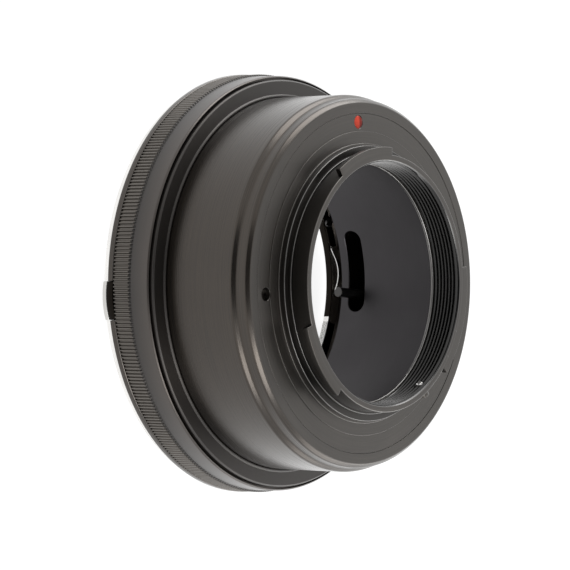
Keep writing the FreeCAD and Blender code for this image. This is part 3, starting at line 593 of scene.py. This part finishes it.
def make_body():
    body = lathe("body_shell", (
        (CAVITY, PLATE_TOP), (BASE, PLATE_TOP, 0.15, 0.3), (BASE, BASE_TOP, 0.25, 0.4),
        (LAND, BASE_TOP, 0.0), (LAND, LAND_TOP, 0.1), (32.4, LAND_TOP, 0.0),
        (32.4, 10.2, 0.05), (TUBE, 10.3, 0.05), (TUBE, 24.36, 0.3), (31.55, 25.11, 0.3),
        (31.55, 26.76, 0.25), (30.85, REGISTER, 0.2), (SEAT, REGISTER, 0.08),
        (SEAT, BORE_TOP, 0.0), (BORE, BORE_TOP, 0.1), (BORE, CAVITY_TOP, 0.12),
        (CAVITY, CAVITY_TOP, 0.0)))
    tools = [
        stadium_cutter("slot_tool", SLOT_START, SLOT_SWEEP, PIN_HEIGHT, SLOT_WIDTH, BORE, LAND + 1,
                       0.12),
        lathe("ball_tool", ((0, 0), (0.85, 0, 0), (0.85, 4.6, 0), (0, 4.6)), SMALL_ROUND,
              outward(DETENT_HEIGHT, DETENT_ANGLE, DETENT_FOOT)),
        block("notch_tool", NOTCH, BASE + 1, NOTCH_WIDTH, 0.3, BASE_TOP, LOCK_ANGLE, 0.0),
        block("tongue_tool", 27.4, 32.5, 5.16, 0.3, 2.81, LOCK_ANGLE, 0.0),
        block("head_tool", 28.75, 31.25, 4.1, 0.3, 5.61, LOCK_ANGLE, 0.0),
        lathe("spring_tool", (
            (0, 1.0), (1.4, 1.0, 0), (1.4, LOCK_SPRING_TOP, 0), (0, LOCK_SPRING_TOP)),
            SMALL_ROUND, place(0, LOCK_ANGLE, LOCK_CIRCLE))]
    for i, turn in enumerate(PLATE_SCREW_TURNS):
        tools.append(lathe(f"screw_tool{i}", ((0, 0.5), (0.8, 0.5, 0), (0.8, 4.8, 0), (0, 4.8)),
                           SMALL_ROUND, place(0, turn, PLATE_SCREW_CIRCLE)))
    boolean(body, tools)
    dress(body, "housing", ["main_body"], BLACK)
    finish_faces(body, BORE_BLACK_AND_PLATE_SHADE, lambda radius, height, normal: radius < BORE + 0.6
                 and height < 25.2)
    finish_faces(body, FACE_BLACK, lambda radius, height, normal: height > REGISTER - 0.1)


def make_bayonet():
    bayonet = lathe("camera_bayonet_ring", (
        (21.86, 25.27), (29.03, 25.27, 0.0), (29.03, 27.41, 0.08), (26.0, 27.41, 0.0),
        (26.0, 27.56, 0.08, 0.3), (23.9, 27.56, 0.0), (23.9, 27.81, 0.1, 0.8),
        (23.5, 27.81, 0.0), (23.5, 28.66, 0.14, 0.8), (22.3, 28.66, 0.0),
        (22.3, 29.06, 0.12, 0.8), (SNOUT, 29.06, 0.0), (SNOUT, SNOUT_END, 0.18, 1.0),
        (20.95, SNOUT_END, 0.1, 1.0), (THREAD_ROOT - 0.1, 32.12, 0.03),
        (THREAD_ROOT, 32.06, 0.03), (THREAD_ROOT, 26.94, 0.03), (THREAD_CREST, 26.78, 0.1, 1.0),
        (THREAD_CREST, 26.4, 0.1, 1.0)))
    lugs = [bent_block(f"lug{i}", 21.4, 23.2, SNOUT_END - 1.06, SNOUT_END, start, sweep, 0.12)
            for i, (start, sweep) in enumerate(CAMERA_LUGS)]
    boolean(bayonet, lugs, "UNION")
    latch = lathe("latch_tool", (
        (0, -1.4), (1.12, -1.4, 0), (1.12, -0.12, 0), (1.17, -0.05, 0), (1.17, 1.0, 0), (0, 1.0)),
        SMALL_ROUND, place(REGISTER, LATCH_ANGLE, LATCH_CIRCLE))
    recess = lathe("mark_tool", (
        (0, -0.5), (1.14, -0.5, 0), (1.14, -0.1, 0), (1.2, -0.05, 0), (1.2, 1.0, 0), (0, 1.0)),
        SMALL_ROUND, place(REGISTER, INDEX_ANGLE, CAMERA_MARK_CIRCLE))
    stop = lathe("stop_tool", ((0, -1.0), (0.6, -1.0, 0), (0.6, 3.0, 0), (0, 3.0)), SMALL_ROUND,
                 outward(STOP_HEIGHT, STOP_ANGLE, THREAD_CREST))
    boolean(bayonet, [latch, recess, stop])
    dress(bayonet, "housing", ["camera_bayonet"], SHADED_SNOUT_BLACK)
    finish_faces(bayonet, FACE_BLACK, lambda radius, height, normal: height > SNOUT_END - 0.26
                 or radius > 23.4 and height < 28.0)
    finish_faces(bayonet, THREAD_BLACK, lambda radius, height, normal: height > THREAD_FOOT - 0.2
                 and radius < 20.94 and normal.z < 0.9)
    # The lip at the thread's foot is painted light: a painted highlight, with wear.
    finish_faces(bayonet, WORN_LIT_LIP_BLACK, lambda radius, height, normal: radius < 20.6
                 and height < THREAD_FOOT - 0.12)


def make_thread():
    """The fine thread in the snout: one ridge wound on a helix, its two ends run out."""
    turns = (THREAD_TOP - THREAD_FOOT) / THREAD_PITCH - 0.9
    steps = int(turns * 360)
    crest = THREAD_CREST - THREAD_ROOT
    section = ((-THREAD_HALF, 0.06), (-0.30, -0.02), (-0.06, crest), (0.06, crest),
               (0.30, -0.02), (THREAD_HALF, 0.06))
    vertices = []
    for step in range(steps + 1):
        degrees = step * turns * 360 / steps
        angle = math.radians(degrees)
        middle = THREAD_FOOT + THREAD_HALF + THREAD_PITCH * degrees / 360
        full = min(1.0, degrees / THREAD_RUN_OUT, (turns * 360 - degrees) / THREAD_RUN_OUT)
        for along, inward in section:
            radius = THREAD_ROOT + (inward * full if inward < 0 else inward)
            vertices.append((radius * math.cos(angle), radius * math.sin(angle),
                             middle + along))
    thread = swept("snout_thread", vertices, len(section))
    dress(thread, "housing", ["camera_bayonet"], THREAD_BLACK)


def make_retaining_ring():
    ring = lathe("retaining_ring_turned", (
        (32.4, LAND_TOP), (35.4, LAND_TOP, 0.05), (35.4, 10.1, 0.08), (35.16, 10.34, 0.08),
        (32.85, 10.36, 0.03), (32.65, RETAINER_TOP, 0.04), (32.4, RETAINER_TOP, 0.04)))
    dress(ring, "housing", ["retaining_ring"], RETAINER_BLACK)


def rib(angle, radius):
    """Straight ribs: each has a flat tip and a flat root."""
    column = round(angle / (2 * math.pi) * RIB_COUNT * 4) % 4
    return radius if column < 2 else min(radius, RIB_ROOT)


def make_aperture_ring():
    grip = lathe("aperture_ring_turned", (
        (34.0, RING_FOOT, 0.0), (RIB_TIP - 0.06, RING_FOOT, 0.0), (RIB_TIP, RING_FOOT + 0.06, 0.0),
        (RIB_TIP, GRIP_TOP - 0.38, 0.0), (RIB_ROOT - 0.02, GRIP_TOP + 0.02, 0.0),
        (34.0, GRIP_TOP, 0.0)), RIB_COUNT * 4, reach=rib)
    band = lathe("ring_band", (
        (33.0, RING_FOOT), (36.0, RING_FOOT, 0.1), (36.0, GRIP_TOP - 0.05, 0.0),
        (36.19, GRIP_TOP - 0.03, 0.0), (36.08, RING_TOP - 0.24, 0.08), (35.88, RING_TOP, 0.06),
        (35.8, RING_TOP, 0.04), (35.8, REBATE_FLOOR, 0.0), (33.0, REBATE_FLOOR, 0.0),
        (33.0, 4.8, 0.0), (33.3, 4.8, 0.0), (33.3, 3.6, 0.0), (33.0, 3.6, 0.0)))
    join(grip, [band])
    dress(grip, "grip", ["aperture_ring"], RING_BLACK)
    finish_faces(grip, LIT_RIB_BLACK, lambda radius, height, normal: radius > RIB_ROOT - 0.15
                 and height < GRIP_TOP - 0.38)


def make_actuator_pin():
    pin = lathe("actuator_pin_turned", (
        (0, 0), (PIN_RADIUS, 0, 0.1), (PIN_RADIUS, 15.8, 0.1), (0, 15.8)),
                SMALL_ROUND, outward(PIN_HEIGHT, PIN_ANGLE, 19.0))
    dress(pin, "grip", ["actuator_pin"], DARK_STEEL)
    finish_faces(pin, CUT_STEEL, lambda radius, height, normal: radius < 19.08)


def make_marks():
    camera_mark = lathe("camera_index_enamel", (
        (0, 0), (1.12, 0, 0), (1.12, 0.38, 0.06), (0.9, 0.5, 0.2), (0, 0.61)), SMALL_ROUND,
        place(REGISTER - 0.5, INDEX_ANGLE, CAMERA_MARK_CIRCLE))
    dress(camera_mark, "housing", ["camera_index_dot"], RED)
    lens_mark = lathe("lens_index_enamel", (
        (0, 0.03), (0.9, 0.02, 0.2), (1.28, 0.07, 0.05), (1.28, 0.5, 0), (0, 0.5)), SMALL_ROUND,
        place(0, INDEX_ANGLE, LENS_MARK_CIRCLE))
    dress(lens_mark, "housing", ["lens_index_dot"], RED)


def make_stop_screw():
    axes = outward(STOP_HEIGHT, STOP_ANGLE, 20.2)
    screw = lathe("stop_screw_turned", (
        (0, 0), (0.55, 0, 0.28), (0.55, 1.7, 0), (0.95, 1.7, 0.05), (0.95, 2.7, 0.15), (0, 2.7)),
        SMALL_ROUND, axes)
    slots = [block("driver_tool", 22.4, 24.0, 3.0, STOP_HEIGHT - 0.15, STOP_HEIGHT + 0.15,
                   STOP_ANGLE, 0),
             block("tip_slot_tool", 19.0, 20.4, 0.2, STOP_HEIGHT - 1, STOP_HEIGHT + 1,
                   STOP_ANGLE, 0)]
    boolean(screw, slots)
    dress(screw, "housing", ["bayonet_stop_screw"], CHROME)
    # Painted shade: the head outside the snout is painted as dark as the face around it; the tip
    # stays bright.
    finish_faces(screw, FACE_BLACK, lambda radius, height, normal: radius > 21.8)


# Lens side

def lug_wall_shade(radius, height, normal):
    """The part of each lug's inner wall painted dark, a painted reflection of the dark inside; the
    wall's first degrees stay bare chrome.
    """
    turn = math.degrees(math.atan2(-normal.y, -normal.x)) - LUG_SHADE_START
    return radius < BORE and turn % LUG_STEP < LUG_SHADE_SWEEP


def make_plate():
    plate = lathe("lens_mount_plate_turned", (
        (24.2, 0, 0.14), (36.0, 0, 0.16), (36.0, PLATE_TOP - 0.001, 0.04),
        (24.2, PLATE_TOP - 0.001, 0.12)))
    tools = [bent_block(f"gate_tool{i}", 23.0, 26.2, -1.0, 2.5, GATE_START + LUG_STEP * i,
                        GATE_SWEEP, 0.0, 60)
             for i in range(3)]
    for i, turn in enumerate(PLATE_SCREW_TURNS):
        tools.append(lathe(f"sink_tool{i}", (
            (0, -1.0), (1.72, -1.0, 0), (1.72, -0.02, 0), (1.62, 0.06, 0), (0.82, 0.84, 0),
            (0.82, 2.5, 0), (0, 2.5)), SMALL_ROUND, place(0, turn, PLATE_SCREW_CIRCLE)))
    for i in range(3):
        tools.append(lathe(f"leaf_tool{i}", ((0, 0.36), (0.5, 0.36, 0), (0.5, 2.5, 0), (0, 2.5)),
                           SMALL_ROUND, place(0, leaf_screw_turn(i), LEAF_SCREW_CIRCLE)))
    tools.append(lathe("pin_tool", (
        (0, -1.0), (1.2, -1.0, 0), (1.2, 0.0, 0), (1.05, 0.15, 0), (1.05, 2.5, 0), (0, 2.5)),
        SMALL_ROUND, place(0, LOCK_ANGLE, LOCK_CIRCLE)))
    tools.append(block("plate_notch_tool", NOTCH, 37.5, NOTCH_WIDTH, -1.0, 2.5, LOCK_ANGLE, 0.0))
    tools.append(lathe("lens_mark_tool", (
        (0, -1.0), (1.36, -1.0, 0), (1.36, 0.0, 0), (1.3, 0.07, 0), (1.3, 0.5, 0), (0, 0.5)),
        SMALL_ROUND, place(0, INDEX_ANGLE, LENS_MARK_CIRCLE)))
    boolean(plate, tools)
    dress(plate, "housing", ["lens_mount_plate"], CHROME)
    # Painted shade: the plate's chrome faces inside the cavity are painted dark, for the dark
    # inside they reflect.
    finish_faces(plate, BORE_BLACK_AND_PLATE_SHADE, lambda radius, height, normal: height > PLATE_TOP - 0.2
                 and radius < CAVITY)
    # Painted shade on the lug walls, for the dark inside that the chrome reflects.
    finish_faces(plate, DEEP_BLACK_AND_SHADE, lug_wall_shade)


def leaf_screw_turn(i):
    """The angle of a leaf's screw, in the middle of the leaf's flat tab."""
    aside = (LEAF_HALF + LEAF_TAB) / 2
    return LEAF_ANGLE + LUG_STEP * i + math.degrees(math.asin(aside / LEAF_SCREW_CIRCLE))


def make_plate_screws():
    heads = []
    for i, turn in enumerate(PLATE_SCREW_TURNS):
        screw = lathe(f"plate_screw_turned{i}", (
            (0, 0.03), (1.56, 0.03, 0.06), (0.8, 0.8, 0.05), (0.8, 4.78, 0.15), (0, 4.78)),
            SMALL_ROUND, place(0, turn, PLATE_SCREW_CIRCLE))
        along = block(f"cross_a{i}", PLATE_SCREW_CIRCLE - 1.0, PLATE_SCREW_CIRCLE + 1.0, 0.42,
                      -1.0, 0.55, turn, 0.0)
        across = block(f"cross_b{i}", PLATE_SCREW_CIRCLE - 0.21, PLATE_SCREW_CIRCLE + 0.21, 2.0,
                       -1.0, 0.55, turn, 0.0)
        boolean(screw, [along, across])
        heads.append(screw)
    join(heads[0], heads[1:])
    heads[0].name = "plate_screws_turned"
    dress(heads[0], "housing", ["mount_plate_screws"], STEEL)


def make_leaf_screws():
    screws = []
    for i in range(3):
        turn = leaf_screw_turn(i)
        screw = lathe(f"leaf_screw_turned{i}", (
            (0, 0.36), (0.5, 0.36, 0), (0.5, 1.51, 0), (0.85, 1.51, 0.04), (0.85, 1.96, 0.13),
            (0, 1.96)), SMALL_ROUND, place(0, turn, LEAF_SCREW_CIRCLE))
        slot = block(f"leaf_slot{i}", 23.6, 27.0, 0.3, 1.74, 3.0, turn, 0.0)
        boolean(screw, [slot])
        screws.append(screw)
    join(screws[0], screws[1:])
    screws[0].name = "leaf_screws_turned"
    dress(screws[0], "housing", ["leaf_spring_screws"], DARK_STEEL)


def leaf_height(along):
    """Underside of a leaf above the plate: a free end, a bow of two bends, a flat tab."""
    if along > LEAF_HALF:
        return 0.0
    quarter, middle = LEAF_HALF / 2, LEAF_RISE / 2
    bend = (quarter ** 2 + middle ** 2) / LEAF_RISE
    if along > quarter:
        return bend - math.sqrt(bend ** 2 - (LEAF_HALF - along) ** 2)
    if along > -quarter:
        return LEAF_RISE - bend + math.sqrt(bend ** 2 - along ** 2)
    return middle + (along + quarter) * math.tan(math.asin(quarter / bend))


def make_leaves():
    section = rounded((
        (LEAF_INNER, 0.0), (LEAF_OUTER, 0.0), (LEAF_OUTER, LEAF_GAUGE), (LEAF_INNER, LEAF_GAUGE)),
        0.05)
    steps = 90
    for i in range(3):
        vertices = []
        for step in range(steps + 1):
            along = LEAF_TIP + (LEAF_TAB - LEAF_TIP) * step / steps
            for radius, height, _ in section:
                turn = math.asin(along / radius) + math.radians(LEAF_ANGLE + LUG_STEP * i)
                vertices.append((radius * math.cos(turn), radius * math.sin(turn),
                                 PLATE_TOP + leaf_height(along) + height))
        leaf = swept(f"leaf_spring_bent_{i + 1}", vertices, len(section))
        dress(leaf, "housing", [f"leaf_spring_{i + 1}"], SPRING_STEEL)
        # Painted shade: the leaf's faces lying low on the plate, at its flat tab, are painted dark
        # for the dark inside they reflect.
        finish_faces(leaf, DEEP_BLACK_AND_SHADE, lambda radius, height, normal: height < PLATE_TOP
                     + LEAF_GAUGE + 0.1)


# Lock

def button_plan(reach):
    """The button from above: straight sides and back, and a face of one wide curve."""
    steps = 24
    face = []
    for i in range(steps + 1):
        side = BUTTON_WIDTH * (i / steps - 0.5)
        face.append((reach - BUTTON_CURVE + math.sqrt(BUTTON_CURVE ** 2 - side ** 2), side))
    return [(BUTTON_BACK, -BUTTON_WIDTH / 2)] + face + [(BUTTON_BACK, BUTTON_WIDTH / 2)]


def make_button():
    slab = prism("release_button_milled", button_plan(BUTTON_REACH), BUTTON_SPLIT,
                 BASE_TOP - 0.05, place(turn=LOCK_ANGLE), 0.14)
    tongue = prism("tongue", (
        (28.8, 1.36), (33.75, 1.36), (33.75, 2.3), (32.2, 2.3), (32.2, 2.76), (30.2, 2.76)),
        -2.5, 2.5, sideways(LOCK_ANGLE), 0.05)
    fork = block("fork_tool", 27.0, 32.28, 2.16, 0.0, 4.0, LOCK_ANGLE, 0.0)
    boolean(tongue, [fork])
    boolean(slab, [tongue], "UNION")
    dress(slab, "button", ["release_button"], DEEP_BLACK_AND_SHADE)
    cap = prism("release_button_cap_milled", button_plan(BUTTON_REACH + 0.05), 0.12,
                BUTTON_SPLIT, place(turn=LOCK_ANGLE), 0.12)
    dress(cap, "button", ["release_button_cap"], STEEL)


def make_lock_pin():
    pin = lathe("lock_pin_turned", (
        (0, -1.15), (1.0, -1.15, 0.45), (1.0, 3.8, 0.0), (0.7, 3.8, 0.0), (0.7, 5.06, 0.1),
        (0, 5.06)), SMALL_ROUND, place(0, LOCK_ANGLE, LOCK_CIRCLE))
    head = prism("wedge_head", (
        (28.8, 1.41), (31.2, 3.81), (31.2, LOCK_SPRING_SEAT), (28.8, LOCK_SPRING_SEAT)),
        -2.0, 2.0, sideways(LOCK_ANGLE), 0.08)
    boolean(pin, [head], "UNION")
    dress(pin, "latch", ["lock_pin"], STEEL)


def coil(name, radius, wire, pitch, length, axes, node):
    """A round wire wound from end to end."""
    turns = (length - 2 * wire) / pitch
    steps = int(turns * 36)
    around = 12
    vertices = []
    for step in range(steps + 1):
        angle = 2 * math.pi * turns * step / steps
        height = wire + (length - 2 * wire) * step / steps
        for i in range(around):
            turn = 2 * math.pi * i / around
            far = radius + wire * math.cos(turn)
            vertices.append(axes @ Vector((far * math.cos(angle), far * math.sin(angle),
                                             height + wire * math.sin(turn))))
    spring = swept(name, vertices, around)
    return dress(spring, "housing", [node], SPRING_STEEL)


def make_springs():
    """The detent's spring, and the lock's, wound at its full length on a mesh of its own; the real
    one shortens by the travel as the pin rises.
    """
    lock_spring = coil("lock_spring_wound", 1.15, 0.2, 0.95, LOCK_SPRING_LENGTH,
                       place(LOCK_SPRING_SEAT, LOCK_ANGLE, LOCK_CIRCLE), "lock_pin_spring")
    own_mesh(lock_spring)
    coil("detent_spring_wound", 0.52, 0.12, 0.55, 2.46,
         outward(DETENT_HEIGHT, DETENT_ANGLE, DETENT_FOOT), "detent_spring")


def dress_ball():
    """The ball keeps its CAD shape and gets the bright steel."""
    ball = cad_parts["detent_ball"]
    for slot in ball.material_slots:
        slot.material = STEEL


# Stage, lamps and camera

def seen_directly(tree):
    """One for the rays of the camera, of reflections and through glass, nought for the rest."""
    path = add_node(tree, "ShaderNodeLightPath").outputs
    return maths(tree, "MAXIMUM", path["Is Camera Ray"],
                 maths(tree, "MAXIMUM", path["Is Glossy Ray"], path["Is Transmission Ray"]))


def disc(name, segments, radius):
    """A flat round sheet; its radius is in metres."""
    work = bmesh.new()
    bmesh.ops.create_circle(work, cap_ends=True, segments=segments, radius=radius)
    return from_work(name, work)


def face_part(thing, azimuth, elevation):
    """Stand a lamp or a card one metre away in a direction, turned to the part."""
    turn, lift = math.radians(azimuth), math.radians(elevation)
    away = Vector((math.cos(lift) * math.cos(turn), math.cos(lift) * math.sin(turn),
                   math.sin(lift)))
    thing.location = away
    thing.rotation_euler = away.to_track_quat("Z", "Y").to_euler()


def make_floor():
    """A white floor that shows as white, apart from the soft shadow that falls on it."""
    floor = disc("floor", 128, 4.0)
    floor.location.z = FLOOR * MM
    material, tree, _ = new_material("floor_white")
    tree.nodes.clear()
    diffuse = add_node(tree, "ShaderNodeBsdfDiffuse", {"Color": (0.25, 0.25, 0.25, 1.0)})
    glow = add_node(tree, "ShaderNodeEmission", {
        "Color": (0.88, 0.88, 0.88, 1.0), "Strength": seen_directly(tree)})
    both = add_node(tree, "ShaderNodeAddShader", {0: diffuse.outputs[0], 1: glow.outputs[0]})
    output = add_node(tree, "ShaderNodeOutputMaterial")
    tree.links.new(both.outputs[0], output.inputs["Surface"])
    floor.data.materials.append(material)


def make_world():
    """White for the camera, reflections and glass; a plain level for the light on the object."""
    world = bpy.data.worlds.new("studio")
    bpy.context.scene.world = world
    world.use_nodes = True
    tree = world.node_tree
    background = tree.nodes["Background"]
    background.inputs["Color"].default_value = (1.0, 1.0, 1.0, 1.0)
    tree.links.new(ramp(tree, seen_directly(tree), 0.0, 1.0, 0.5, 1.0),
                   background.inputs["Strength"])


def soft_lamp(name, azimuth, elevation, size, radiance):
    """A soft box that faces the part, placed by its direction; size is in metres."""
    data = bpy.data.lights.new(name, "AREA")
    data.shape = "RECTANGLE"
    data.size, data.size_y = size
    data.energy = radiance * math.pi * size[0] * size[1]
    face_part(add_object(name, data), azimuth, elevation)


def make_lamps():
    soft_lamp("lamp_left", 152, 18, (0.9, 0.45), 4.2)
    soft_lamp("lamp_right", 36, 20, (0.9, 0.45), 2.4)
    soft_lamp("lamp_near", 323, 45, (0.4, 0.4), 6.5)


def make_flag():
    """A dark card behind the camera, as photographers use; it only shows in reflections."""
    flag = disc("flag", 64, 0.37)
    face_part(flag, 257, 46)
    flag.visible_camera = False
    material, _, shader = new_material("flag_black")
    shader.inputs["Base Color"].default_value = (0.02, 0.02, 0.02, 1.0)
    shader.inputs["Roughness"].default_value = 0.9
    flag.data.materials.append(material)


def make_camera():
    """The photograph's camera: the part's axis lies across the picture."""
    data = bpy.data.cameras.new("camera")
    data.sensor_width = 36.0
    data.lens = 202.12
    data.clip_start, data.clip_end = 0.01, 20.0
    camera = add_object("camera", data)
    camera.location = (-0.0293965, -0.4333255, 0.3593214)
    camera.rotation_euler = tuple(math.radians(angle) for angle in (-0.1402, -51.1798, 86.2593))
    bpy.context.scene.camera = camera


make_camera()
make_floor()
make_world()
make_lamps()
make_flag()
make_body()
make_bayonet()
make_thread()
make_retaining_ring()
make_aperture_ring()
make_actuator_pin()
make_marks()
make_stop_screw()
make_plate()
make_plate_screws()
make_leaf_screws()
make_leaves()
make_button()
make_lock_pin()
make_springs()
dress_ball()

bpy.context.scene.view_settings.view_transform = "Standard"
